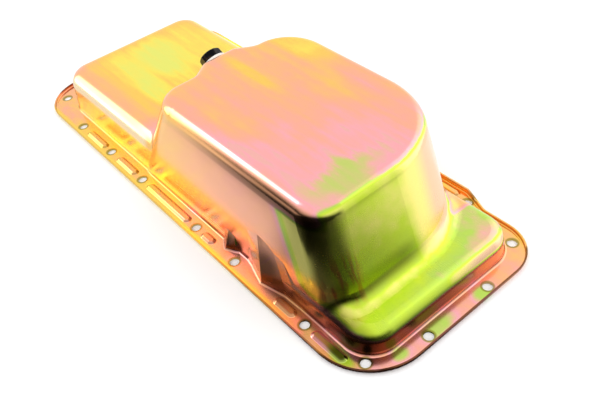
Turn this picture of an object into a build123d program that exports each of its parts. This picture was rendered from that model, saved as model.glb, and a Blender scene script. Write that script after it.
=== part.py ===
from build123d import *
import os
from math import cos, degrees, pi, radians, sin, tan

# A pressed steel engine oil pan, standing upside down on its gasket flange.
# X runs along the pan towards the deep sump, Y across it, Z up.
# The origin is the middle of the gasket face, which lies at Z = 0.

os.makedirs("parts", exist_ok=True)

# Sheet
sheet = 1.5
draft = radians(3.2)

# Flange outline; places along the pan are measured from its left end or from its right end
pan_length = 577.0
pan_width = 237.0
left_end = -pan_length / 2
right_end = pan_length / 2
left_corner = 50.0
near_right_corner = 57.0
far_right_corner = 39.0
step_blend = 14.0

# The near rail lies this far from the crankshaft's line, and the far edge steps in twice,
# first a share of the way along the pan and then by its right end
near_edge = 111.0
first_step = 0.4619
step_run = 26.0
far_steps = (
    (left_end + first_step * pan_length - step_run, left_end + first_step * pan_length, 12.0),
    (right_end - 94.5, right_end - 67.5, 10.0),
)

# Lip turned up round the flange
lip_low = 4.0
lip_high = 6.5
lip_right = 4.6
lip_bend = 1.2
lip_rise_start = -110.0
lip_rise_end = 20.0

# Bolt holes: along both sides, at the corners and on both ends; the far rail is narrow beside the sump
bolt_hole = 9.0
rail_inset = 11.1
narrow_inset = 8.7
side_hole_shares = (0.159, 0.277, 0.3934, 0.5697, 0.6785, 0.8497)
left_corner_hole = (22.3, 86.1)
right_corner_hole = (25.1, 89.8)
end_hole_inset = 8.5
end_hole_y = 36.0

# Stiffening beads: each from one share of the pan's length to another
near_beads = ((0.1863, 0.2591), (0.3042, 0.3735), (0.4151, 0.5503), (0.5893, 0.6231), (0.7825, 0.8293), (0.8674, 0.9367))
far_beads = ((0.1863, 0.2591), (0.3042, 0.3735), (0.4861, 0.5503), (0.5893, 0.6231), (0.7825, 0.8293))
bead_width = 9.6
bead_height = 2.0
bead_slope = radians(35.0)

# Shallow tray
tray_near_foot = 86.9
tray_far_foot = 95.9
tray_left = left_end + 36.5
tray_height = 50.0
tray_corner = 26.0
tray_edge = 18.0
tray_reach = 82.0

# Deep sump
sump_near_foot = 88.8
sump_far_foot = 96.8
sump_far_draft = radians(3.8)
sump_height = 114.0
sump_edge = 12.0
sump_left = left_end + first_step * pan_length
sump_left_slope = radians(33.0)
sump_right = right_end - 78.5
sump_right_slope = radians(15.0)
sump_near_left_corner = 30.0
sump_far_left_corner = 44.0
sump_near_right_corner = 28.0
sump_far_right_corner = 92.0
tray_blend = 12.0

# Low shelf at the end of the sump
shelf_near_foot = 90.6
shelf_far_foot = 89.4
shelf_left = sump_right - 90.0
shelf_right = right_end - 19.0
shelf_height = 26.0
shelf_corner = 28.0
shelf_edge = 12.0
shelf_blend = 16.0

# Folds of the sump's near wall on both sides of the fifth side bolt. Each has feet along the flange, measured
# from that bolt, with how far out of the crankshaft's line they stand, and creases that fade into the wall
# above them at the tops
short_fold = {"feet": (-33.0, -19.0, -2.0), "reaches": (88.4, 97.0, 88.4), "tops": (-27.0, -20.4, -13.0), "height": 21.0}
long_fold = {
    "feet": (3.0, 16.0, 38.0, 67.0, 100.0),
    "reaches": (88.4, 91.0, 98.2, 91.6, 90.3),
    "tops": (9.0, 13.0, 18.5, 38.0, 55.0),
    "height": 50.0,
}
fold_root = 70.0

# Drain boss, bulged out of the sump's sloping left wall
boss_off_centre = 5.0
boss_drop = 21.0
boss_stand = 11.0
boss_face = 18.0
boss_flare = radians(60.0)
boss_depth = 14.0
boss_blend = 12.0
boss_rim = 10.0

# Drain plug, its washer and the nut welded inside the boss
thread = 14.0
thread_clearance = 0.05
plug_hole = 16.0
washer_outer = 27.0
washer_thick = 3.0
head_flats = 22.0
head_thick = 8.5
head_turn = 31.0
head_corner = 1.4
head_taper = 4.0
washer_clearance = 0.5
washer_chamfer = 0.5
nut_flats = 22.0
nut_thick = 10.0
plug_tip = 2.0
tip_chamfer = 1.5

# Bend radii where the wall meets the flange
crease_bend = 2.5
cut_depth = 5.0

lean = tan(draft)
half_width = pan_width / 2
axis_y = near_edge - half_width
boss_y = axis_y + boss_off_centre


def along(share):
    """The X that lies this share of the pan's length from its left end."""
    return left_end + share * pan_length


def floor_of(skin):
    """The bottom of a form: the gasket face outside, and lower for the hollow cut by the inside form."""
    return -cut_depth if skin else 0.0


def walled_block(near_foot, far_foot, skin, profile, far_draft=draft):
    """A block with the given side profile and drafted near and far walls, drawn in by the skin."""
    floor = floor_of(skin)
    top = max(z for x, z in profile)

    def near_y(z):
        return axis_y - near_foot + skin / cos(draft) + z * lean

    def far_y(z):
        return axis_y + far_foot - skin / cos(far_draft) - z * tan(far_draft)

    with BuildPart() as block:
        with BuildSketch(Plane.XZ):
            with BuildLine():
                Polyline(*profile, close=True)
            make_face()
        extrude(amount=pan_width, both=True)
        with BuildSketch(Plane.YZ):
            with BuildLine():
                Polyline((near_y(floor), floor), (far_y(floor), floor), (far_y(top), top), (near_y(top), top), close=True)
            make_face()
        extrude(amount=pan_length, both=True, mode=Mode.INTERSECT)
    return block.part


def corner_edge(part, x_side, y_side):
    """The upright or leaning edge at one corner of a block."""
    uprights = [edge for edge in part.edges() if abs((edge @ 1).Z - (edge @ 0).Z) > sheet]
    return max(uprights, key=lambda edge: x_side * edge.center().X + 10 * y_side * edge.center().Y)


def rounded_block(block, corners, edge_radius):
    """Rounds the named corners of a block, then the whole edge round its top."""
    with BuildPart() as rounded:
        add(block)
        for (x_side, y_side), radius in corners.items():
            fillet(corner_edge(rounded.part, x_side, y_side), radius)
        fillet(rounded.faces().sort_by(Axis.Z)[-1].edges(), edge_radius)
    return rounded.part


def tray_block(skin):
    floor = floor_of(skin)
    top = tray_height - skin
    wall = tray_left + skin / cos(draft)
    end = sump_left + tray_reach
    profile = ((wall + floor * lean, floor), (wall + top * lean, top), (end, top), (end, floor))
    corners = {(-1, -1): tray_corner - skin, (-1, 1): tray_corner - skin}
    return rounded_block(walled_block(tray_near_foot, tray_far_foot, skin, profile), corners, tray_edge - skin)


def sump_wall_left(z, skin):
    return sump_left - (sump_height - z) * tan(sump_left_slope) + skin / cos(sump_left_slope)


def sump_wall_right(z, skin):
    return sump_right + (sump_height - z) * tan(sump_right_slope) - skin / cos(sump_right_slope)


# The drain boss stands square on the sump's left wall, so its axis follows that wall's slope
boss_axis = Vector(-cos(sump_left_slope), 0, sin(sump_left_slope))
boss_foot = Vector(sump_wall_left(sump_height - boss_drop, 0), boss_y, sump_height - boss_drop)
boss_seat = boss_foot + boss_axis * boss_stand


def seat_plane(out):
    """A plane across the boss axis, this far outside the face that the washer seats on."""
    return Plane(origin=boss_seat + boss_axis * out, x_dir=(0, 1, 0), z_dir=boss_axis)


def boss_block(skin):
    """The flared bulge for the drain plug, cut off level with the top of the sump."""
    side = 2 * (boss_face - skin * (1 - sin(boss_flare)) / cos(boss_flare))
    with BuildPart() as bulge:
        with BuildSketch(seat_plane(-skin)):
            Rectangle(side, side)
        extrude(amount=-boss_depth, taper=-degrees(boss_flare))
        with BuildSketch(Plane.XY.offset(sump_height - skin)):
            Rectangle(pan_length, pan_width)
        extrude(amount=sump_height, mode=Mode.SUBTRACT)
    return bulge.part


def sump_block(skin):
    floor = floor_of(skin)
    top = sump_height - skin
    profile = (
        (sump_wall_left(floor, skin), floor),
        (sump_wall_left(top, skin), top),
        (sump_wall_right(top, skin), top),
        (sump_wall_right(floor, skin), floor),
    )
    corners = {
        (-1, -1): sump_near_left_corner,
        (-1, 1): sump_far_left_corner,
        (1, -1): sump_near_right_corner,
        (1, 1): sump_far_right_corner,
    }
    with BuildPart() as sump:
        add(walled_block(sump_near_foot, sump_far_foot, skin, profile, sump_far_draft))
        for (x_side, y_side), radius in corners.items():
            fillet(corner_edge(sump.part, x_side, y_side), radius - skin)
        add(boss_block(skin))
        fillet([edge for edge in sump.edges(Select.NEW) if edge.is_interior], boss_blend + skin)
        seat_face = min(sump.faces(), key=lambda face: (face.center() - seat_plane(-skin).origin).length)
        fillet([edge for edge in seat_face.edges() if edge.center().Z < top - boss_rim], boss_rim - skin)
        fillet(sump.faces().sort_by(Axis.Z)[-1].edges(), sump_edge - skin)
    return sump.part


def shelf_block(skin):
    floor = floor_of(skin)
    top = shelf_height - skin
    wall = shelf_right - skin / cos(draft)
    profile = ((shelf_left, floor), (shelf_left, top), (wall - top * lean, top), (wall - floor * lean, floor))
    corners = {(1, -1): shelf_corner - skin, (1, 1): shelf_corner - skin}
    return rounded_block(walled_block(shelf_near_foot, shelf_far_foot, skin, profile), corners, shelf_edge - skin)


def fold_block(skin, feet, reaches, tops, height):
    """A wedge that carries the near wall out to the flange and fades into the wall at its top."""
    top = height - skin
    top_y = axis_y - sump_near_foot + height * lean + skin + sheet / 2
    root_y = axis_y - fold_root
    bolt_x = along(side_hole_shares[4])
    feet = [bolt_x + x for x in feet]
    tops = [bolt_x + x for x in tops]
    with BuildPart() as wedge:
        with BuildSketch(Plane.XY.offset(floor_of(skin))):
            with BuildLine():
                foot_points = [(x, axis_y - reach + skin) for x, reach in zip(feet, reaches)]
                Polyline(*foot_points, (feet[-1], root_y), (feet[0], root_y), close=True)
            make_face()
        with BuildSketch(Plane.XY.offset(top)):
            with BuildLine():
                Polyline(*[(x, top_y) for x in tops], (tops[-1], root_y), (tops[0], root_y), close=True)
            make_face()
        loft(ruled=True)
    return wedge.part


def pressed_form(skin):
    """What the sheet is pressed over: its outside with no skin, its inside with the sheet as skin."""
    with BuildPart() as form:
        add(tray_block(skin))
        add(sump_block(skin))
        fillet([edge for edge in form.edges(Select.NEW) if edge.is_interior], tray_blend + skin)
        add(shelf_block(skin))
        seam = [edge for edge in form.edges(Select.NEW) if edge.is_interior]
        fillet([edge for edge in seam if edge.center().X > shelf_left + sheet], shelf_blend + skin)
        for fold in (short_fold, long_fold):
            add(fold_block(skin, **fold))
    return form.part


def far_edge(x):
    """How far the far rail's edge lies from the middle of the pan at this X."""
    return half_width - sum(depth for start, end, depth in far_steps if x > (start + end) / 2)


def flange_outline():
    corners = [(left_end, -half_width), (right_end, -half_width), (right_end, far_edge(right_end))]
    radii = [left_corner, near_right_corner, far_right_corner]
    for start, end, depth in reversed(far_steps):
        corners += [(end, far_edge(end)), (start, far_edge(start))]
        radii += [step_blend, step_blend]
    corners.append((left_end, half_width))
    radii.append(left_corner)
    with BuildSketch() as outline:
        with BuildLine():
            FilletPolyline(*corners, radius=radii, close=True)
        make_face()
    return outline.sketch


def flange():
    """The flat gasket flange with the lip turned up round its edge."""
    sky = 2 * lip_high
    lip_drop_start, lip_drop_end, depth = far_steps[-1]
    with BuildPart() as plate:
        with BuildSketch():
            add(flange_outline())
        extrude(amount=sheet)
        with BuildSketch():
            add(flange_outline())
            offset(flange_outline(), amount=-sheet, mode=Mode.SUBTRACT)
        extrude(amount=lip_high)
        with BuildSketch(Plane.YZ):
            with BuildLine():
                Polyline(
                    (-pan_width, lip_low),
                    (lip_rise_start, lip_low),
                    (lip_rise_end, lip_high),
                    (lip_rise_end, sky),
                    (-pan_width, sky),
                    close=True,
                )
            make_face()
        extrude(amount=pan_length, both=True, mode=Mode.SUBTRACT)
        with BuildSketch(Plane.XZ):
            with BuildLine():
                Polyline(
                    (lip_drop_start, lip_high),
                    (lip_drop_end, lip_right),
                    (pan_length, lip_right),
                    (pan_length, sky),
                    (lip_drop_start, sky),
                    close=True,
                )
            make_face()
        extrude(amount=pan_width, both=True, mode=Mode.SUBTRACT)
        underside = plate.faces().sort_by(Axis.Z)[0]
        fillet(underside.edges(), lip_bend + sheet)
        top_side = [face for face in plate.faces().filter_by(Axis.Z) if abs(face.center().Z - sheet) < sheet / 10]
        fillet(top_side[0].edges(), lip_bend)
    return plate.part


def near_row(x):
    return rail_inset - half_width


def far_row(x):
    beside_sump = far_steps[0][1] < x < far_steps[1][0]
    return far_edge(x) - (narrow_inset if beside_sump else rail_inset)


def bolt_places():
    """The centres of all the bolt holes."""
    side_x = [along(share) for share in side_hole_shares]
    places = [(x, row(x)) for row in (near_row, far_row) for x in side_x]
    left_x, left_y = left_corner_hole
    right_x, right_y = right_corner_hole
    end_x = pan_length / 2 - end_hole_inset
    for x, y in ((left_end + left_x, left_y), (right_end - right_x, right_y), (end_x, end_hole_y), (-end_x, end_hole_y)):
        places += [(x, axis_y - y), (x, axis_y + y)]
    return places


def bead(x_start, x_end, y, skin):
    """One stiffening bead: its crown on the flange, or the hollow under it with the sheet as skin."""
    narrower = 2 * skin * (1 - cos(bead_slope)) / sin(bead_slope)
    with BuildPart() as rib:
        with BuildSketch(Plane(((x_start + x_end) / 2, y, sheet - skin))):
            SlotOverall(x_end - x_start - narrower, bead_width - narrower)
        extrude(amount=bead_height, taper=90 - degrees(bead_slope))
    return rib.part


def lies_at(edge, z):
    return abs(edge.center().Z - z) < sheet / 10


with BuildPart() as oil_pan:
    add(flange())
    add(pressed_form(0.0))
    crease = [edge for edge in oil_pan.edges(Select.NEW) if edge.is_interior and lies_at(edge, sheet)]
    fillet(crease, crease_bend)
    add(pressed_form(sheet), mode=Mode.SUBTRACT)
    fillet([edge for edge in oil_pan.edges(Select.NEW) if lies_at(edge, 0)], crease_bend + sheet)
    with Locations(*bolt_places()):
        Hole(bolt_hole / 2)
    for row, spans in ((near_row, near_beads), (far_row, far_beads)):
        for start, end in spans:
            place = (along(start), along(end), row(along(start)))
            add(bead(*place, 0.0))
            add(bead(*place, sheet), mode=Mode.SUBTRACT)
    with BuildSketch(seat_plane(0)):
        Circle(plug_hole / 2)
    extrude(amount=-2 * sheet, mode=Mode.SUBTRACT)
oil_pan.part.label = "oil_pan"
export_step(oil_pan.part, "parts/oil_pan.step")

# The nut welded inside the boss, the washer and the plug
with BuildPart() as drain_nut:
    with BuildSketch(seat_plane(-sheet)):
        RegularPolygon(radius=nut_flats / 2, side_count=6, major_radius=False)
    extrude(amount=-nut_thick)
    with BuildSketch(seat_plane(0)):
        Circle(thread / 2 + thread_clearance)
    extrude(amount=-2 * nut_thick, mode=Mode.SUBTRACT)
drain_nut.part.label = "drain_nut"
export_step(drain_nut.part, "parts/drain_nut.step")

with BuildPart() as drain_plug_washer:
    with BuildSketch(seat_plane(0)):
        Circle(washer_outer / 2)
        Circle(thread / 2 + washer_clearance, mode=Mode.SUBTRACT)
    extrude(amount=washer_thick)
    rims = [edge for edge in drain_plug_washer.edges() if edge.length > pi * washer_outer - washer_clearance]
    chamfer(rims, washer_chamfer)
drain_plug_washer.part.label = "drain_plug_washer"
export_step(drain_plug_washer.part, "parts/drain_plug_washer.step")

with BuildPart() as drain_plug:
    with BuildSketch(seat_plane(washer_thick)):
        RegularPolygon(radius=head_flats / 2, side_count=6, major_radius=False, rotation=head_turn)
    extrude(amount=head_thick)
    with BuildSketch(seat_plane(washer_thick)):
        Circle(head_flats / 2 + head_corner)
    extrude(amount=head_thick, taper=head_taper, mode=Mode.INTERSECT)
    with BuildSketch(seat_plane(washer_thick)):
        Circle(thread / 2)
    extrude(amount=-(washer_thick + sheet + nut_thick + plug_tip))
    tip = min(drain_plug.faces().filter_by(GeomType.PLANE), key=lambda face: face.center().Z)
    chamfer(tip.edges(), tip_chamfer)
drain_plug.part.label = "drain_plug"
export_step(drain_plug.part, "parts/drain_plug.step")
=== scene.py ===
# %% [markdown]
# An engine oil pan is pressed from one sheet of steel, zinc plated and dipped in a yellow passivate. It could be
# modelled again here as a mesh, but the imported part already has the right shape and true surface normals. So it is
# loaded as it is, and this script gives it its finish, dresses the drain plug and sets up the studio.

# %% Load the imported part
import math
import bpy
from mathutils import Matrix, Vector


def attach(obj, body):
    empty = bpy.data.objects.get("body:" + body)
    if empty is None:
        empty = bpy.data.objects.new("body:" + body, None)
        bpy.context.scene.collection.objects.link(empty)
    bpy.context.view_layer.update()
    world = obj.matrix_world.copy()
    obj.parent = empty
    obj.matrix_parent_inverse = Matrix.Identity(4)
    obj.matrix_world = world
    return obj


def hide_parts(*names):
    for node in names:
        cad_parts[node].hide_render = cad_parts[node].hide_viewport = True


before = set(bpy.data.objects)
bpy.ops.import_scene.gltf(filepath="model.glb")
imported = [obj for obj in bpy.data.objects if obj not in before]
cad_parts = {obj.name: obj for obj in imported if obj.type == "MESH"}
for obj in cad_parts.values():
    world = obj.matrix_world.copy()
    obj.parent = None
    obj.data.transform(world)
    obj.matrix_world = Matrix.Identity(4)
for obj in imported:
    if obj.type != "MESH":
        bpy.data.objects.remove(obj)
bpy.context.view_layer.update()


# %% [markdown]
# Sizes are in millimetres, as a press shop would write them, and one helper turns them to Blender's metres.
# Colours are picked as sRGB hex values, and one function turns them to the linear values that nodes expect.
# Every node here, of a material or of geometry, is added by one small function that sets or links its inputs.

# %% Lengths, colours and nodes
def mm(value):
    return value / 1000


def linear(hex_code, alpha=1.0):
    channels = [int(hex_code[i : i + 2], 16) / 255 for i in (1, 3, 5)]
    return (*[c / 12.92 if c <= 0.04045 else ((c + 0.055) / 1.055) ** 2.4 for c in channels], alpha)


def node(tree, kind, inputs=None, **settings):
    """Adds a node with its settings, then sets or links its inputs."""
    made = tree.nodes.new(kind)
    for name, value in settings.items():
        setattr(made, name, value)
    for socket, value in (inputs or {}).items():
        if isinstance(value, bpy.types.NodeSocket):
            tree.links.new(value, made.inputs[socket])
        else:
            made.inputs[socket].default_value = value
    return made


WHITE = linear("#FFFFFF")
print("zinc yellow in linear values", [round(v, 3) for v in linear("#FFD060")])


# %% [markdown]
# A finish that changes over a surface is arithmetic on places, and three loops do all of it here. Fades rise or
# fall smoothly between two places, and a product of several fences in one zone of the pan: (z, 55, 75) goes
# from 0 at a height of 55 mm to 1 at 75 mm, and two more numbers give it other ends. Combine works one operation
# through a row of values. Laid over puts values, normals or colours over what lies under them, each as far as
# its share of the surface says, like coats of paint through a soft mask.

# %% Fades, sums and layers
MIXED_KINDS = ("FLOAT", "VECTOR", "RGBA")


def combine(tree, operation, first, *others):
    """Works one operation of the Math node through its values in turn, as in 2 + 3 + 4."""
    for other in others:
        first = node(tree, "ShaderNodeMath", {0: first, 1: other}, operation=operation).outputs[0]
    return first


def fades(tree, *spans):
    """The product of smooth fades, each from low to high while its value goes from start to end."""
    shares = []
    for value, start, end, *ends in spans:
        low, high = ends or (0.0, 1.0)
        inputs = {"Value": value, "From Min": start, "From Max": end, "To Min": low, "To Max": high}
        fade = node(tree, "ShaderNodeMapRange", inputs, interpolation_type="SMOOTHSTEP")
        shares.append(fade.outputs["Result"])
    return combine(tree, "MULTIPLY", *shares)


def laid_over(tree, kind, under, *layers, **settings):
    """Lays values, normals or colours over each other, each as far as its share says."""
    row = MIXED_KINDS.index(kind)
    for share, over in layers:
        inputs = {0: share, 2 * row + 2: under, 2 * row + 3: over}
        under = node(tree, "ShaderNodeMix", inputs, data_type=kind, **settings).outputs[row]
    return under


print("a Mix node has one pair of inputs and one output for each of", MIXED_KINDS)


# %% [markdown]
# Yellow passivate on zinc is a clear film a few hundred nanometres thick over bright metal. Light that
# reflects from both sides of the film interferes, so a slightly thicker film turns the gold to pink and then to
# green. The optics could be worked out from the thickness, but a ramp is easier to match to a real finish. So one
# number stands for the film's thickness, and one colour ramp turns it to a colour.
# The metal under it is a plain metallic shader, so its light and dark come from reflections.

# %% The colours that the film runs through as it thickens
FILM_COLOURS = (
    (0.00, "#EFEE70"),
    (0.10, "#FFEA60"),
    (0.22, "#FFD060"),
    (0.34, "#FFC478"),
    (0.44, "#FFB98A"),
    (0.54, "#FFB39C"),
    (0.64, "#FFB2B8"),
    (0.70, "#EFC19C"),
    (0.77, "#BFDE62"),
    (0.87, "#D2EC44"),
    (0.94, "#FFF08A"),
    (1.00, "#F8CDA4"),
)
CLEAR_GOLD, ROSE, GREEN, LIME, STRAW, CREAM = 0.2, 0.47, 0.79, 0.92, 0.94, 1.0
print("film colours", len(FILM_COLOURS), "from", FILM_COLOURS[0][1], "to", FILM_COLOURS[-1][1])


# %% [markdown]
# The film's thickness follows how the pan hung in the tank and drained, so each face of the pan has its own
# run of colours. It could be painted on by hand, but a rule can be read and changed. A face is told by where it
# lies, in millimetres from the middle of the flange, and by which way it looks. Object coordinates carry all of
# it, so the colours stay on the pan from every side.

# %% The plate's material, and where each point of it lies
def new_material(name):
    material = bpy.data.materials.new(name)
    material.use_nodes = True
    material.node_tree.nodes.clear()
    return material, material.node_tree


def in_millimetres(tree, pivot=(0, 0, 0)):
    """Object coordinates in millimetres from a pivot."""
    inputs = {0: node(tree, "ShaderNodeTexCoord").outputs["Object"], 1: (1000,) * 3, 2: [-c for c in pivot]}
    return node(tree, "ShaderNodeVectorMath", inputs, operation="MULTIPLY_ADD").outputs[0]


zinc, steel = new_material("yellow_passivated_zinc_plate")
place = in_millimetres(steel)
x, y, z = node(steel, "ShaderNodeSeparateXYZ", {0: place}).outputs
facing = node(steel, "ShaderNodeTexCoord").outputs["Normal"]
face_x, face_y, _ = node(steel, "ShaderNodeSeparateXYZ", {0: facing}).outputs
print("started", zinc.name, "with", len(steel.nodes), "nodes")


# %% [markdown]
# No run of colour on a dipped part has a clean edge. Noise stretched to a real size gives the drifts: clouds
# 150 mm long and 13 mm wide are the streaks that the press left along the sheet, and rounder ones are the spots
# where the bath clung. A patch is one soft blot with a place of its own.

# %% Patches and clouds in real sizes
def scaled_about(tree, place, centre, size, turn=0.0):
    """Moves a pattern's middle to a place, turns it about Y and stretches one unit of it to this size."""
    moved = node(tree, "ShaderNodeVectorMath", {0: place, 1: centre}, operation="SUBTRACT").outputs[0]
    if turn:
        inputs = {"Vector": moved, "Axis": (0, 1, 0), "Angle": math.radians(turn)}
        moved = node(tree, "ShaderNodeVectorRotate", inputs).outputs[0]
    return node(tree, "ShaderNodeVectorMath", {0: moved, 1: size}, operation="DIVIDE").outputs[0]


def patch(tree, place, centre, size, amount=1.0):
    """This amount in the middle of a soft patch, and 0 outside it."""
    away = node(tree, "ShaderNodeVectorMath", {0: scaled_about(tree, place, centre, size)}, operation="LENGTH")
    return fades(tree, (away.outputs["Value"], 1.0, 0.25, 0.0, amount))


def clouds(tree, place, size, amount=1.0, detail=2.0, centre=(0, 0, 0), turn=0.0):
    """Noise that swings by this amount about 0, in patches about this large."""
    spot = scaled_about(tree, place, centre, size, turn)
    noise = node(tree, "ShaderNodeTexNoise", {"Vector": spot, "Scale": 1.0, "Detail": detail, "Roughness": 0.6})
    return combine(tree, "MULTIPLY", combine(tree, "SUBTRACT", noise.outputs["Fac"], 0.5), amount)


streaks = clouds(steel, place, (150, 13, 60), detail=6.0, centre=(40, 0, 0))
spots = clouds(steel, place, (48, 34, 34), detail=3.0, centre=(9, 9, 9))
print("streaks and spots made, nodes so far", len(steel.nodes))


# %% [markdown]
# The two tops lay level in the tank and drained slowly. The tray's top is pale gold that deepens towards its
# edges, with paler blots in its middle. The sump's top goes from gold to pink towards the deep end. The press
# drew the steel lengthways, so the streaks run along the pan. Each top is a sum of runs, and a limit keeps the
# sum from running on into green.

# %% The film on the tops of the tray and the sump
PALER_PATCHES = (
    ((-178, -2, 50), (62, 50, 40), -0.14),
    ((-130, -38, 50), (40, 20, 40), -0.10),
    ((15, 64, 114), (70, 24, 40), -0.14),
    ((20, -2, 114), (75, 9, 40), -0.20),
    ((90, 34, 114), (60, 26, 40), -0.12),
    ((60, -62, 114), (50, 12, 40), -0.10),
)
TRAY_FILM = 0.15
SUMP_LIMIT, TOPS_LIMIT = 0.62, 0.66

tray = combine(
    steel,
    "ADD",
    TRAY_FILM,
    fades(steel, (y, -38, -88, 0.0, 0.26)),
    fades(steel, (x, -215, -250, 0.0, 0.16)),
    fades(steel, (x, -95, -60, 0.0, 0.2)),
)
sump = combine(
    steel,
    "ADD",
    fades(steel, (x, -50, 170, 0.36, 0.60)),
    fades(steel, (y, 10, 70, 0.0, -0.08)),
    fades(steel, (y, -45, -80, 0.0, 0.06)),
    clouds(steel, place, (80, 50, 60), 0.46, 6.0, (20, 30, 0)),
)
sump = combine(steel, "MINIMUM", sump, SUMP_LIMIT)
tops = laid_over(steel, "FLOAT", tray, (fades(steel, (z, 55, 75)), sump))
for centre, size, change in PALER_PATCHES:
    tops = combine(steel, "ADD", tops, patch(steel, place, centre, size, change))
for pattern, amount in ((streaks, 0.42), (spots, 0.16)):
    tops = combine(steel, "ADD", tops, combine(steel, "MULTIPLY", pattern, amount))
tops = combine(steel, "MINIMUM", tops, TOPS_LIMIT)
print("paler patches", len(PALER_PATCHES), "nodes so far", len(steel.nodes))


# %% [markdown]
# One corner of the sump's top has just turned green. A plain patch would look stamped on, so the place that it
# reads is pushed sideways by the streaks and spots, and its edge wanders as the film's own edges do.

# %% The green corner of the sump's top
STREAK_STRAY, SPOT_STRAY = 30.0, 60.0
CORNER_PATCH = ((191, -38, 112), (27, 58, 40), 0.78)
CORNER_GREEN = 0.78

strays = ((streaks, STREAK_STRAY), (spots, SPOT_STRAY))
wander = combine(steel, "ADD", *(combine(steel, "MULTIPLY", pattern, stray) for pattern, stray in strays))
sideways = node(steel, "ShaderNodeCombineXYZ", {"X": wander}).outputs[0]
strayed = node(steel, "ShaderNodeVectorMath", {0: place, 1: sideways}, operation="ADD").outputs[0]
tops = laid_over(steel, "FLOAT", tops, (patch(steel, strayed, *CORNER_PATCH), CORNER_GREEN))
print("the green corner's edge strays by about", round((STREAK_STRAY + SPOT_STRAY) / 4), "mm")


# %% [markdown]
# The end wall and the low shelf beyond it hung lowest, so their film is the thickest. Both are green, and the
# wall turns to straw and then to a pinkish cream round its far side.

# %% The film on the shelf and the end wall
SHELF_FILM = 0.82

shelf = combine(
    steel,
    "ADD",
    SHELF_FILM,
    fades(steel, (x, 256, 240, 0.0, 0.08)),
    fades(steel, (y, -20, 66, 0.0, -0.1)),
    combine(steel, "MULTIPLY", spots, 0.3),
)
end_film = combine(steel, "ADD", fades(steel, (z, 30, 100, 0.84, 0.90)), combine(steel, "MULTIPLY", spots, 0.14))
end_film = laid_over(
    steel, "FLOAT", end_film, (fades(steel, (y, -12, 8)), STRAW), (fades(steel, (y, 10, 34)), CREAM)
)
print("shelf and end wall done, nodes so far", len(steel.nodes))


# %% [markdown]
# The near wall goes from gold to rose along the pan. It was drawn over the die at a slant, which leaves slanted
# streaks at its foot. Past the sump's corner it takes the end wall's green, along a line that leans.

# %% The film on the near wall
LEAN = 0.35
DRAWN_SLANT = 52

drawn_streaks = clouds(steel, place, (26, 40, 2.6), turn=DRAWN_SLANT)
wall = combine(
    steel,
    "ADD",
    fades(steel, (x, -60, 120, 0.30, 0.50)),
    fades(steel, (x, 70, -30), (z, 62, 12, 0.0, -0.06)),
    fades(steel, (z, 94, 106, 0.0, -0.06)),
    clouds(steel, place, (60, 40, 16), 0.14, 2.0, (3, 0, 0), 40),
    combine(steel, "MULTIPLY", drawn_streaks, fades(steel, (z, 50, 20, 0.0, 0.4))),
)
leaning = combine(steel, "ADD", x, combine(steel, "MULTIPLY", z, LEAN))
wall = laid_over(steel, "FLOAT", wall, (fades(steel, (leaning, 180, 206), (z, 104, 94), (z, 14, 32)), LIME))
print("the corner's green leans", round(math.degrees(math.atan(LEAN))), "degrees")


# %% [markdown]
# The flange is gold at the tray's end and pinker towards the sump's, with a few green spots where the bath
# stood in its corners. Its near rim is rubbed back to clear gold.

# %% The film on the flange
RAIL_SPOTS = (
    ((246, -107, 2), (26, 14, 20)),
    ((279, -32, 2), (16, 30, 20)),
    ((282, 20, 2), (14, 18, 20)),
    ((276, -72, 2), (12, 16, 20)),
)

rail = combine(
    steel,
    "ADD",
    fades(steel, (x, -250, -190, 0.44, 0.3)),
    fades(steel, (x, -30, 60, 0.0, 0.2)),
    fades(steel, (x, 150, 260, 0.0, 0.04)),
    fades(steel, (y, 45, 75, 0.0, -0.2)),
    clouds(steel, place, (40, 26, 30), 0.75, 4.0, (1, 2, 0)),
)
green_spots = [(patch(steel, place, centre, size, 0.9), GREEN) for centre, size in RAIL_SPOTS]
rubbed_rim = fades(steel, (y, -110.5, -114.5), (x, 215, 150))
rail = laid_over(steel, "FLOAT", rail, *green_spots, (rubbed_rim, CLEAR_GOLD))
print("green spots on the flange", len(green_spots))


# %% [markdown]
# The film of the whole pan is laid together face by face, from the tops down to the flange. The walls are told
# by which way they look, and the rest by where it lies. One ramp then colours all of it.

# %% The film on the whole pan
near_face = (face_y, -0.5, -0.9)

film = laid_over(
    steel,
    "FLOAT",
    tops,
    (fades(steel, (x, 214, 222)), shelf),
    (fades(steel, (face_x, 0.3, 0.7)), end_film),
    (fades(steel, near_face), wall),
    (fades(steel, (z, 20, 14), (x, 205, 225)), ROSE),
    (fades(steel, (z, 8, 3)), rail),
)
ramp = node(steel, "ShaderNodeValToRGB", {"Fac": film})
stops = ramp.color_ramp.elements
stops.remove(stops[1])
for thickness, hex_code in FILM_COLOURS:
    stop = stops[0] if thickness == 0 else stops.new(thickness)
    stop.position = thickness
    stop.color = linear(hex_code)
print("film made of", len(steel.nodes), "nodes, with", len(stops), "stops in its ramp")


# %% [markdown]
# Round each bolt hole the punch has dented the plate a little, and the film dries greenish yellow there. Rings
# could be modelled, but they have no height. The distance to the nearest hole is the smallest of the distances
# to all of them, so a loop can build it, and a fade on that distance is a ring round every hole. The holes lie in
# a row along each side and in pairs at the ends, and the far row steps in with its rail.

# %% The greenish rings round the bolt holes
HOLE_RADIUS = 4.5
RING_WIDTH, RING_FADE = 2.6, 1.8
ROW_Y = 107.4
SIDE_HOLES = (-196.8, -128.7, -61.5, 40.2, 103.0, 201.8)
FAR_ROW = (ROW_Y, ROW_Y, ROW_Y, 97.8, 97.8, 95.4)
END_HOLES = ((-266.2, 86.1), (263.4, 89.8), (280.0, 36.0), (-280.0, 36.0))
END_MIDDLE_Y = -7.5

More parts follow.
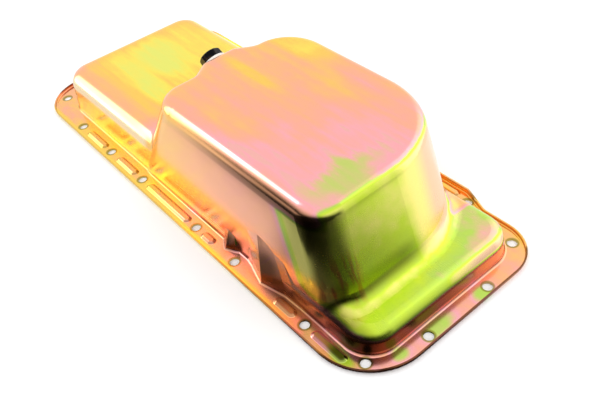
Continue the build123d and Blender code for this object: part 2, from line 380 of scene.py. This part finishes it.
bolt_holes = [(hole_x, -ROW_Y, 0) for hole_x in SIDE_HOLES]
bolt_holes += [(hole_x, hole_y, 0) for hole_x, hole_y in zip(SIDE_HOLES, FAR_ROW)]
bolt_holes += [(hole_x, END_MIDDLE_Y + side * off, 0) for hole_x, off in END_HOLES for side in (-1, 1)]
flat = node(steel, "ShaderNodeVectorMath", {0: place, 1: (1, 1, 0)}, operation="MULTIPLY").outputs[0]
distances = [
    node(steel, "ShaderNodeVectorMath", {0: flat, 1: hole}, operation="DISTANCE").outputs["Value"]
    for hole in bolt_holes
]
nearest = combine(steel, "MINIMUM", *distances)
ring_edge = HOLE_RADIUS + RING_WIDTH
rings = fades(steel, (nearest, ring_edge, ring_edge - RING_FADE), (z, 5, 3, 0.0, 0.8))
print("rings round", len(bolt_holes), "bolt holes")


# %% [markdown]
# Two more colours lie over the film. Where the bath ran off the low near corner of the end wall it dried in
# orange runs. A near-white colour along the tray's near edge and on one corner of the sump is a painted
# highlight.

# %% The runs and the painted highlights
run_pattern = clouds(steel, place, (20, 4, 34), centre=(0, 4, 0))
runs = fades(steel, (run_pattern, -0.04, 0.1, 0.0, 0.8), (x, 205, 215), (y, -54, -76), (z, 84, 56), (z, 26, 36))
# The near-white colour here is a painted highlight on the tray's near edge and one corner of the sump.
painted_highlight = combine(
    steel,
    "MAXIMUM",
    fades(steel, (x, -58, -70, 0.0, 0.6), (y, -80, -86), (z, 28, 35), (z, 47, 41)),
    patch(steel, place, (-38, -86, 106), (18, 14, 16), 0.6),
)
colour = laid_over(
    steel,
    "RGBA",
    ramp.outputs["Color"],
    (rings, linear("#8C8230")),
    (runs, linear("#D08A4C")),
    (painted_highlight, linear("#FFF1D6")),
)
print("rings, runs and rubbed edges laid over, nodes so far", len(steel.nodes))


# %% [markdown]
# The creases are darkened in the colour as painted shade, a brown multiplied over the film. A node that finds
# creases would darken them all alike, but here the painted shade follows the foot of each wall on the deep end, and
# it is strongest on the near side. The lips, the cut edge, the near wall below its top bend and a band under that
# bend are darkened the same way. So each is a zone of its own, and the painted shade is the strongest of them.

# %% The painted shade in the creases
near_side = (y, -80, -91)
past_sump = (x, 208, 222)

# Each zone below darkens the colour as painted shade, in the creases and along the near wall.
shelf_foot = combine(
    steel,
    "MULTIPLY",
    fades(steel, past_sump, (z, 21, 15), (z, 3.2, 6)),
    combine(steel, "MAXIMUM", fades(steel, (y, -20, 70, 1.0, 0.2)), fades(steel, near_side)),
)
lips = combine(
    steel,
    "MAXIMUM",
    fades(steel, (y, 99, 103), (x, 190, 205)),
    fades(steel, (x, 274, 278)),
    fades(steel, (x, -276, -281)),
)
creases = {
    "foot of the shelf": shelf_foot,
    "foot of the near wall": fades(steel, near_side, (z, 56, 12), (z, 2.2, 3.2), (x, 35, 120, 0.2, 0.62)),
    "foot of the end wall": fades(steel, past_sump, (z, 54, 42), (z, 27, 34), (y, 5, -20, 0.0, 0.45)),
    "inside of the near rail": fades(
        steel,
        near_side,
        (y, -109, -104),
        (x, 120, 160, 0.0, 0.65),
        (x, 236, 208),
        (z, 3.2, 2.2, 0.25, 1.0),
        (z, 8, 5),
    ),
    "lip": combine(steel, "MULTIPLY", lips, fades(steel, (z, 2.4, 3.6, 0.0, 0.9))),
    "cut edge": fades(steel, (z, 1.6, 2.1), (z, 3.3, 2.7, 0.0, 0.45)),
    "near wall": fades(steel, near_face, (x, 20, 150, 0.0, 0.2), (z, 112, 104)),
    "bend of the near wall": fades(steel, near_face, (x, 10, 160, 0.1, 0.75), (z, 93, 98), (z, 107, 102)),
}
# The painted shade is the strongest of all the zones.
painted_shade = combine(steel, "MAXIMUM", *creases.values())
print("tinted creases:", ", ".join(creases))


# %% [markdown]
# The painted shade is darkest in the hollows of the two folds and at the shelf's near corner. Both browns are
# painted shade, laid over by multiplying, so the film's colour still shows through them.

# %% The darkest painted shade in the hollows, and both browns laid over
HOLLOWS = (
    ((89, -97, 9), (16, 26, 12)),
    ((143, -96, 20), (22, 30, 22)),
    ((160, -97, 9), (34, 26, 10)),
    ((234, -96, 24), (24, 10, 9)),
)
HOLLOW_SHADE = 0.675

# The hollows and the shelf's near corner hold the darkest painted shade.
hollows = [patch(steel, place, centre, size, HOLLOW_SHADE) for centre, size in HOLLOWS]
shelf_corner = fades(steel, near_side, (x, 228, 240, 0.0, 0.75), (z, 24, 16), (z, 2.2, 3.2))
dark = combine(steel, "MAXIMUM", shelf_corner, *hollows)
# Both browns are painted shade, multiplied over the film's colour.
painted_shade_browns = ((painted_shade, linear("#75603E")), (dark, linear("#4A3C28")))
colour = laid_over(steel, "RGBA", colour, *painted_shade_browns, blend_type="MULTIPLY")
print("dark hollows", len(hollows) + 1)


# %% [markdown]
# Two reliefs are too shallow for the plate's mesh, so a bump gives them. The left end of the near wall's foot
# has slanted wrinkles 0.22 mm deep from the draw. The end wall is slightly twisted, like a warped board: its
# height is the product of two distances from its middle, which tilts the reflection from corner to corner.
# Rolling lines in the sheet and patches of wear vary the gloss. The lines are drawn 1.2 mm wide, far coarser
# than real ones, so that they show at all in the render.

# %% The relief and the gloss of the plate
WRINKLE_DEPTH = mm(0.22)
TWIST_PER_SQUARE_MM = mm(0.0017)
TWIST_Y, TWIST_Z = -20, 58
GLOSS, DULLER = 0.17, 0.09

wrinkles = clouds(steel, place, (30, 60, 5), detail=0.0, turn=DRAWN_SLANT)
wrinkles = combine(steel, "MULTIPLY", wrinkles, fades(steel, (x, 60, -40), (z, 40, 14), (z, 3, 7)))
wrinkled = node(steel, "ShaderNodeBump", {"Height": wrinkles, "Distance": WRINKLE_DEPTH, "Strength": 1.0})
twist = combine(steel, "MULTIPLY", combine(steel, "SUBTRACT", z, TWIST_Z), combine(steel, "SUBTRACT", TWIST_Y, y))
twisted = node(steel, "ShaderNodeBump", {"Height": twist, "Distance": TWIST_PER_SQUARE_MM, "Strength": 1.0})
end_wall = fades(steel, (x, 196, 206), (z, 26, 40), (z, 110, 100))
normal = laid_over(steel, "VECTOR", wrinkled.outputs[0], (end_wall, twisted.outputs[0]))

dull_zones = combine(steel, "MAXIMUM", end_wall, fades(steel, (z, 2.5, 5), (z, 48, 24)))
roughness = combine(
    steel,
    "ADD",
    GLOSS,
    clouds(steel, place, (40, 1.2, 1.2), 0.06),
    clouds(steel, place, (30, 20, 20), 0.10, 3.0, (5, 5, 5)),
    combine(steel, "MULTIPLY", dull_zones, DULLER),
)
print("roughness from", GLOSS, "to about", GLOSS + DULLER)


# %% [markdown]
# Each material ends in one Principled shader. Zinc plate is a metal, so Metallic is 1, the IOR keeps its
# default, and the colour of the film tints the reflections themselves.

# %% The plated and passivated steel
def finish_with(tree, looks):
    """Puts a Principled shader with these looks on the surface."""
    shader = node(tree, "ShaderNodeBsdfPrincipled", looks)
    node(tree, "ShaderNodeOutputMaterial", {"Surface": shader.outputs[0]})


finish_with(steel, {"Base Color": colour, "Metallic": 1.0, "Roughness": roughness, "Normal": normal})
print(zinc.name, "has", len(steel.nodes), "nodes")


# %% [markdown]
# The drain plug is blackened steel: forged, threaded and dipped in a hot oxide bath, which leaves a dull black
# skin a few micrometres thick. It rubs through to brown on the flats where a spanner sits. The washer is
# turned nylon, white and slightly waxy, so it is no metal and has a soft, even gloss. The steel's pits are drawn
# 0.9 mm wide and the washer's turning marks 0.4 mm apart, coarser than the real ones, so that they show.

# %% The plug's black steel and the washer's nylon
def black_oxide_steel():
    material, tree = new_material("black_oxide_steel")
    spot = in_millimetres(tree)
    rubbed_through = fades(tree, (clouds(tree, spot, (5, 5, 5), detail=3.0, centre=(2, 0, 1)), 0.02, 0.16))
    skin = laid_over(tree, "RGBA", linear("#17171A"), (rubbed_through, linear("#3A2C22")))
    pits = clouds(tree, spot, (0.9, 0.9, 0.9), detail=3.0)
    rough = combine(tree, "ADD", 0.36, combine(tree, "MULTIPLY", pits, 0.25))
    bump = node(tree, "ShaderNodeBump", {"Height": pits, "Distance": mm(0.05), "Strength": 1.0})
    finish_with(tree, {"Base Color": skin, "Metallic": 1.0, "Roughness": rough, "Normal": bump.outputs[0]})
    return material


def white_nylon():
    material, tree = new_material("white_nylon")
    spot = in_millimetres(tree)
    mottle = combine(tree, "ADD", clouds(tree, spot, (6, 6, 6)), 0.5)
    skin = laid_over(tree, "RGBA", linear("#F6F5F0"), (mottle, linear("#E6E4DA")))
    turning = clouds(tree, spot, (8, 0.4, 8), detail=1.0)
    bump = node(tree, "ShaderNodeBump", {"Height": turning, "Distance": mm(0.03), "Strength": 1.0})
    finish_with(tree, {"Base Color": skin, "Roughness": 0.42, "IOR": 1.53, "Normal": bump.outputs[0]})
    return material


black_steel = black_oxide_steel()
for name, material in {"oil_pan": zinc, "drain_nut": zinc, "drain_plug_washer": white_nylon()}.items():
    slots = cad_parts[name].data.materials
    slots.clear()
    slots.append(material)
    print(name, "is finished in", material.name)


# %% [markdown]
# The CAD plug has a plain shank, so a plug with a real thread replaces it. A profile swept along a helix could
# make the thread, but its ends are hard to close. A turned part follows one rule instead: at each angle and each
# height there is one radius. That is work for Geometry Nodes, with the plug's sizes as the tree's named inputs.

# %% The plug's sizes and its tree
PLUG_SIZES = {
    "Thread radius": mm(7.0),
    "Thread depth": mm(0.92),
    "Pitch": mm(1.5),
    "Shank length": mm(16.6),
    "Head apothem": mm(11.0),
    "Head corner": mm(12.4),
    "Head end": mm(10.5),
    "Head height": mm(8.5),
}

plug_tree = bpy.data.node_groups.new("turned_plug", "GeometryNodeTree")
plug_tree.interface.new_socket("Plug", in_out="OUTPUT", socket_type="NodeSocketGeometry")
for name in PLUG_SIZES:
    plug_tree.interface.new_socket(name, in_out="INPUT", socket_type="NodeSocketFloat")
plug_tree.interface.new_socket("Finish", in_out="INPUT", socket_type="NodeSocketMaterial")
given = node(plug_tree, "NodeGroupInput").outputs
core = combine(plug_tree, "SUBTRACT", given["Thread radius"], given["Thread depth"])
print("sizes of the plug in mm", {name: round(size * 1000, 2) for name, size in PLUG_SIZES.items()})


# %% [markdown]
# A flat grid is rolled up, with its width as the angle and its length as the height, and a disc closes each end.
# What the radius and the height are is left to two functions, so the shank and the head can share this helper.

# %% Roll up a grid and close its ends
AROUND = 96


def rolled(tree, length, rows, start, radius_of, height_of, smooth):
    """A grid whose x is the angle and whose y is the height, from start upwards."""
    inputs = {"Size X": 2 * math.pi, "Size Y": length, "Vertices X": AROUND + 1, "Vertices Y": rows}
    grid = node(tree, "GeometryNodeMeshGrid", inputs)
    spot = node(tree, "GeometryNodeInputPosition").outputs[0]
    angle, along, _ = node(tree, "ShaderNodeSeparateXYZ", {0: spot}).outputs
    along = combine(tree, "ADD", along, combine(tree, "MULTIPLY", length, 0.5), start)
    radius = radius_of(angle, along)
    around = {"Z": height_of(along)}
    for axis, operation in (("X", "COSINE"), ("Y", "SINE")):
        turned = node(tree, "ShaderNodeMath", {0: angle}, operation=operation).outputs[0]
        around[axis] = combine(tree, "MULTIPLY", radius, turned)
    rounded = node(tree, "ShaderNodeCombineXYZ", around).outputs[0]
    placed = node(tree, "GeometryNodeSetPosition", {"Geometry": grid.outputs["Mesh"], "Position": rounded})
    shaded = node(tree, "GeometryNodeSetShadeSmooth", {"Geometry": placed.outputs[0], "Shade Smooth": smooth})
    return shaded.outputs[0]


def end_cap(tree, radius, height, flip):
    disc = node(tree, "GeometryNodeMeshCircle", {"Vertices": AROUND, "Radius": radius}, fill_type="TRIANGLE_FAN")
    up = node(tree, "ShaderNodeCombineXYZ", {"Z": height})
    moved = node(tree, "GeometryNodeTransform", {"Geometry": disc.outputs[0], "Translation": up.outputs[0]})
    if flip:
        moved = node(tree, "GeometryNodeFlipFaces", {"Mesh": moved.outputs[0]})
    return moved.outputs[0]


print("columns round the plug", AROUND)


# %% [markdown]
# The thread's radius is a wave between its core and its crest. The wave takes its place in the pitch from the
# height less the angle's share of a turn, which makes it climb. At the tip the radius can't be more than a
# short cone allows, which is the lead-in that helps the plug find its nut.

# %% The threaded shank
LEAD_IN = mm(0.5)
SHANK_ROWS = 90


def thread_radius(angle, along):
    turns = combine(plug_tree, "DIVIDE", along, given["Pitch"])
    climb = combine(plug_tree, "SUBTRACT", turns, combine(plug_tree, "DIVIDE", angle, 2 * math.pi))
    wave = combine(plug_tree, "MULTIPLY", combine(plug_tree, "PINGPONG", climb, 0.5), 2.0)
    cut = combine(plug_tree, "ADD", core, combine(plug_tree, "MULTIPLY", wave, given["Thread depth"]))
    cone = combine(plug_tree, "ADD", combine(plug_tree, "SUBTRACT", core, LEAD_IN), along)
    return combine(plug_tree, "MINIMUM", cut, cone)


shank = rolled(plug_tree, given["Shank length"], SHANK_ROWS, 0.0, thread_radius, lambda along: along, True)
tip = end_cap(plug_tree, combine(plug_tree, "SUBTRACT", core, LEAD_IN), 0.0, True)
print("thread turns on the shank", round(PLUG_SIZES["Shank length"] / PLUG_SIZES["Pitch"], 1))


# %% [markdown]
# The head is the same rule with another radius. A hexagon's radius is its apothem over the cosine of the angle
# from the middle of a flat. A forged head tapers a little, which the waist gives, and a steep cone cuts its
# corners off at the top as the chamfer. The first row is the flat face under the head, from the core outwards,
# and it starts 0.1 mm inside the end of the shank, so that no gap can show between them.

# %% The hexagon head
SUNK = mm(0.1)
UNDER_FACE = mm(1)
HEAD_ROWS = 20
TAPER, CHAMFER = math.radians(4), math.radians(60)
HALF_FLAT = math.pi / 6


def head_radius(angle, along):
    from_corner = combine(plug_tree, "SUBTRACT", angle, HALF_FLAT)
    side = node(plug_tree, "ShaderNodeMath", {0: from_corner, 1: HALF_FLAT, 2: -HALF_FLAT}, operation="WRAP")
    leaned = node(plug_tree, "ShaderNodeMath", {0: side.outputs[0]}, operation="COSINE").outputs[0]
    hexagon = combine(plug_tree, "DIVIDE", given["Head apothem"], leaned)
    taper = combine(plug_tree, "MULTIPLY", along, math.tan(TAPER))
    waist = combine(plug_tree, "SUBTRACT", given["Head corner"], taper)
    left = combine(plug_tree, "SUBTRACT", given["Head height"], along)
    chamfer = combine(plug_tree, "ADD", given["Head end"], combine(plug_tree, "MULTIPLY", left, math.tan(CHAMFER)))
    full = combine(plug_tree, "MINIMUM", hexagon, waist, chamfer)
    share = node(plug_tree, "ShaderNodeMapRange", {"Value": along, "From Min": -UNDER_FACE, "From Max": 0.0})
    widening = combine(plug_tree, "MULTIPLY", share.outputs[0], combine(plug_tree, "SUBTRACT", full, core))
    return combine(plug_tree, "ADD", core, widening)


def head_height(along):
    return combine(plug_tree, "ADD", combine(plug_tree, "MAXIMUM", along, 0.0), base)


base = combine(plug_tree, "SUBTRACT", given["Shank length"], SUNK)
rolled_length = combine(plug_tree, "ADD", given["Head height"], UNDER_FACE)
head = rolled(plug_tree, rolled_length, HEAD_ROWS, -UNDER_FACE, head_radius, head_height, False)
top = end_cap(plug_tree, given["Head end"], combine(plug_tree, "ADD", base, given["Head height"]), False)
print("across flats in mm", round(2000 * PLUG_SIZES["Head apothem"], 1))


# %% [markdown]
# Each closed end is merged to its rolled wall, so that shank and head are watertight. The tree ends in Realize
# Instances and Set Material, and running it on an empty mesh gives a plain mesh of the plug standing on its tip.

# %% Close the ends, finish the tree and run it
def made_by_nodes(name, tree, values):
    """Runs a tree on an empty mesh and gives the result as a plain mesh object."""
    source = bpy.data.objects.new(name + "_source", bpy.data.meshes.new(name + "_source"))
    bpy.context.scene.collection.objects.link(source)
    modifier = source.modifiers.new("rolled", "NODES")
    modifier.node_group = tree
    for item in tree.interface.items_tree:
        if item.in_out == "INPUT":
            modifier[item.identifier] = values[item.name]
    depsgraph = bpy.context.evaluated_depsgraph_get()
    mesh = bpy.data.meshes.new_from_object(source.evaluated_get(depsgraph))
    bpy.data.objects.remove(source)
    mesh.materials.clear()
    mesh.materials.append(values["Finish"])
    for polygon in mesh.polygons:
        polygon.material_index = 0
    made = bpy.data.objects.new(name, mesh)
    bpy.context.scene.collection.objects.link(made)
    return made


whole = node(plug_tree, "GeometryNodeJoinGeometry")
for parts in ((shank, tip), (head, top)):
    joined = node(plug_tree, "GeometryNodeJoinGeometry")
    for part in parts:
        plug_tree.links.new(part, joined.inputs[0])
    merged = node(plug_tree, "GeometryNodeMergeByDistance", {"Geometry": joined.outputs[0], "Distance": mm(0.001)})
    plug_tree.links.new(merged.outputs[0], whole.inputs[0])
real = node(plug_tree, "GeometryNodeRealizeInstances", {"Geometry": whole.outputs[0]})
finished = node(plug_tree, "GeometryNodeSetMaterial", {"Geometry": real.outputs[0], "Material": given["Finish"]})
node(plug_tree, "NodeGroupOutput", {"Plug": finished.outputs[0]})
plug = made_by_nodes("threaded_drain_plug", plug_tree, {**PLUG_SIZES, "Finish": black_steel})
print("plug faces", len(plug.data.polygons), "finish", plug.data.materials[0].name)


# %% [markdown]
# The plug is moved to the boss in its mesh, so its object stays at the origin as the CAD nodes do. Its tip goes
# where the CAD plug's tip is, found by measuring the CAD mesh along the boss's axis, and it is turned about that
# axis until its flats match. The printed boxes of both plugs show how well they agree.

# %% Put the plug on the boss's axis
BOSS_AXIS = Vector((-0.838671, 0.0, 0.544639))
ON_AXIS = Vector((-0.044863, -0.0025, 0.098991))
HEAD_TURN = math.radians(31.0)


def box_of(mesh):
    sides = zip(*(vertex.co for vertex in mesh.vertices))
    return [(round(min(side), 4), round(max(side), 4)) for side in sides]


across = Vector((0.0, 1.0, 0.0))
cad_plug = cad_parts["drain_plug"].data
tip_out = min((vertex.co - ON_AXIS).dot(BOSS_AXIS) for vertex in cad_plug.vertices)
axes = Matrix((across, BOSS_AXIS.cross(across), BOSS_AXIS)).transposed().to_4x4()
plug.data.transform(Matrix.Translation(ON_AXIS + tip_out * BOSS_AXIS) @ axes @ Matrix.Rotation(HEAD_TURN, 4, "Z"))
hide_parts("drain_plug")
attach(plug, "plug")
print("plug box", box_of(plug.data))
print("CAD plug", box_of(cad_plug))


# %% [markdown]
# The camera stands where the photographer stood, found from the rows of bolt holes. It looks down from the
# sump's end, a little to the near side, and is turned a few degrees about its own line of sight.

# %% The camera
CAMERA_PLACE = Vector((0.5051, -0.3052, 0.4740))
CAMERA_RIGHT = Vector((0.6413, 0.7606, -0.1012))
CAMERA_AHEAD = Vector((-0.6043, 0.4194, -0.6774))
SENSOR_WIDTH = 36.0
LENS = 42.66

ahead = CAMERA_AHEAD.normalized()
right = (CAMERA_RIGHT - CAMERA_RIGHT.dot(ahead) * ahead).normalized()
up = right.cross(ahead)
camera_data = bpy.data.cameras.new("camera")
camera_data.sensor_width = SENSOR_WIDTH
camera_data.sensor_fit = "HORIZONTAL"
camera_data.lens = LENS
camera_data.clip_start = 0.01
camera_data.clip_end = 50
camera = bpy.data.objects.new("camera", camera_data)
bpy.context.scene.collection.objects.link(camera)
camera.matrix_world = Matrix.Translation(CAMERA_PLACE) @ Matrix((right, up, -ahead)).transposed().to_4x4()
bpy.context.scene.camera = camera
print("camera looks", round(-math.degrees(math.asin(ahead.z))), "degrees down")


# %% [markdown]
# Bright metal shows the room more than its own colour, so lamps alone would leave it black with a few hard
# glints, and the studio is built from what it should mirror instead. The floor is plain white paper, but glossy
# rays see it as a light of its own, dimmer in front of the pan, where the photographer stands, and beyond a
# strip along its near side. Where it is bright is told by the bearing from the foot of the sump's end. The floor
# lies 0.2 mm low, so that it doesn't coincide with the flange's face.

# %% The white floor, and how dark the metal sees it on the camera's side
FLOOR_SIZE = 12.0
UNDER = mm(-0.2)
SUMP_END = (215, -30, 0)


def stage_object(name, mesh):
    made = bpy.data.objects.new(name, mesh)
    bpy.context.scene.collection.objects.link(made)
    return made


half = FLOOR_SIZE / 2
floor_mesh = bpy.data.meshes.new("floor")
floor_corners = [(-half, -half, UNDER), (half, -half, UNDER), (half, half, UNDER), (-half, half, UNDER)]
floor_mesh.from_pydata(floor_corners, [], [(0, 1, 2, 3)])
floor = stage_object("floor", floor_mesh)
floor_material, tree = new_material("white_paper_floor")
floor_x, floor_y, _ = node(tree, "ShaderNodeSeparateXYZ", {0: in_millimetres(tree, SUMP_END)}).outputs
turned = node(tree, "ShaderNodeMath", {0: floor_y, 1: floor_x}, operation="ARCTAN2").outputs[0]
bearing = node(tree, "ShaderNodeMath", {0: turned}, operation="DEGREES").outputs[0]
lit = combine(
    tree,
    "ADD",
    fades(tree, (bearing, -143, -131, 1.0, 0.45), (bearing, -126, -98, 1.0, 0.14)),
    fades(tree, (bearing, -24, 32, 0.0, 0.4)),
    fades(tree, (bearing, 24, 54, 0.0, 0.7)),
)
beyond_strip = (fades(tree, (floor_y, -129, -139)), fades(tree, (floor_x, -400, -165, 1.0, 0.06)))
lit = combine(tree, "MULTIPLY", lit, laid_over(tree, "FLOAT", 1.0, beyond_strip))
mirrored = node(tree, "ShaderNodeEmission", {"Color": WHITE, "Strength": lit})
paper = node(tree, "ShaderNodeBsdfDiffuse", {"Color": WHITE})
glossy_ray = node(tree, "ShaderNodeLightPath").outputs["Is Glossy Ray"]
seen = node(tree, "ShaderNodeMixShader", {0: glossy_ray, 1: paper.outputs[0], 2: mirrored.outputs[0]})
node(tree, "ShaderNodeOutputMaterial", {"Surface": seen.outputs[0]})
floor.data.materials.append(floor_material)
print("floor", FLOOR_SIZE, "m wide,", round(-UNDER * 1000, 2), "mm under the flange")


# %% [markdown]
# Round the pan stands a light tent of white cloth, brightest in two strips, with an opening on the camera's
# side through which the dark room shows. That opening gives the end wall its dark reflection. Only glossy rays
# see the tent, as a photographer's tent stays out of the picture.

# %% The light tent
TENT_RADIUS = 5.0
LEFT_GAIN, RIGHT_GAIN = 2.2, 0.6
DARK_ROOM = 0.015

bpy.ops.mesh.primitive_uv_sphere_add(segments=96, ring_count=48, radius=TENT_RADIUS)
tent = bpy.context.object
tent.name = "light_tent"
tent_material, tree = new_material("white_tent_cloth")
tent_x, tent_y, tent_z = node(tree, "ShaderNodeSeparateXYZ", {0: in_millimetres(tree)}).outputs
squares = [combine(tree, "MULTIPLY", side, side) for side in (tent_x, tent_y)]
reach = node(tree, "ShaderNodeMath", {0: combine(tree, "ADD", *squares)}, operation="SQRT").outputs[0]
angles = []
for rise, run in ((tent_y, tent_x), (tent_z, reach)):
    turned = node(tree, "ShaderNodeMath", {0: rise, 1: run}, operation="ARCTAN2").outputs[0]
    angles.append(node(tree, "ShaderNodeMath", {0: turned}, operation="DEGREES").outputs[0])
bearing, height = angles
cloth = combine(
    tree,
    "ADD",
    1.0,
    fades(tree, (bearing, -136, -142), (bearing, -164, -156), (height, 58, 44, 0.0, LEFT_GAIN)),
    fades(tree, (bearing, 38, 50), (bearing, 118, 96), (height, 66, 50, 0.0, RIGHT_GAIN)),
)
opening = fades(tree, (bearing, -140, -127), (bearing, 38, 4), (height, 44, 4))
cloth = laid_over(tree, "FLOAT", cloth, (opening, DARK_ROOM))
glow = node(tree, "ShaderNodeEmission", {"Color": WHITE, "Strength": cloth})
node(tree, "ShaderNodeOutputMaterial", {"Surface": glow.outputs[0]})
tent.data.materials.append(tent_material)
for kind in ("camera", "diffuse", "shadow", "transmission", "volume_scatter"):
    setattr(tent, "visible_" + kind, False)
print("light tent", TENT_RADIUS, "m in radius, strips", 1 + LEFT_GAIN, "and", 1 + RIGHT_GAIN, "times the cloth")


# %% [markdown]
# The light that falls on the floor is a plain white world, as even as an overcast sky, so the shadow under the
# pan is soft. It is a little over 1, which keeps the paper white as in the photograph. The Standard view keeps
# the film's colours as clear as they were picked.

# %% The soft white light on the floor
DAYLIGHT = 1.25

world = bpy.data.worlds.new("studio")
bpy.context.scene.world = world
world.use_nodes = True
world.node_tree.nodes.clear()
sky = node(world.node_tree, "ShaderNodeBackground", {"Color": WHITE, "Strength": DAYLIGHT})
node(world.node_tree, "ShaderNodeOutputWorld", {"Surface": sky.outputs[0]})
bpy.context.scene.view_settings.view_transform = "Standard"
print("world light", DAYLIGHT)
